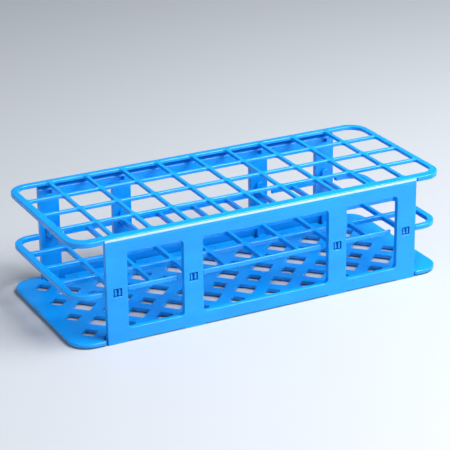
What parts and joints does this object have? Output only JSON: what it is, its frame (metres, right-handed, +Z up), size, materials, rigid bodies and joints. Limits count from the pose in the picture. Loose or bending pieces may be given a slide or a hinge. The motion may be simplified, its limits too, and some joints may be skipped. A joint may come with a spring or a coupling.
{
  "type": "test tube rack",
  "caption": "Flat-folding three-tier test tube rack: a grid on top with two fold-down side panels, a middle grid and a base plate with drain holes.",
  "frame": {"origin": "middle of the footprint, on the surface that the feet stand on", "axes": "+X along the length of the rack, +Y from the front panel to the rear panel, +Z up"},
  "size_m": [0.246, 0.104, 0.0662],
  "materials": {
    "polypropylene": "satin"
  },
  "bodies": {
    "tiers": {"top_tier": "polypropylene", "middle_tier": "polypropylene", "base_tier": "polypropylene"},
    "front_side": {"front_panel": "polypropylene"},
    "rear_side": {"rear_panel": "polypropylene"}
  },
  "joints": [
    {"name": "front_panel_fold", "type": "hinge", "parent": "tiers", "child": "front_side", "pos_m": [0, -0.052, 0.0646], "axis": [-1, 0, 0], "range_deg": [0, 90]},
    {"name": "rear_panel_fold", "type": "hinge", "parent": "tiers", "child": "rear_side", "pos_m": [0, 0.052, 0.0646], "axis": [1, 0, 0], "range_deg": [0, 90]}
  ]
}
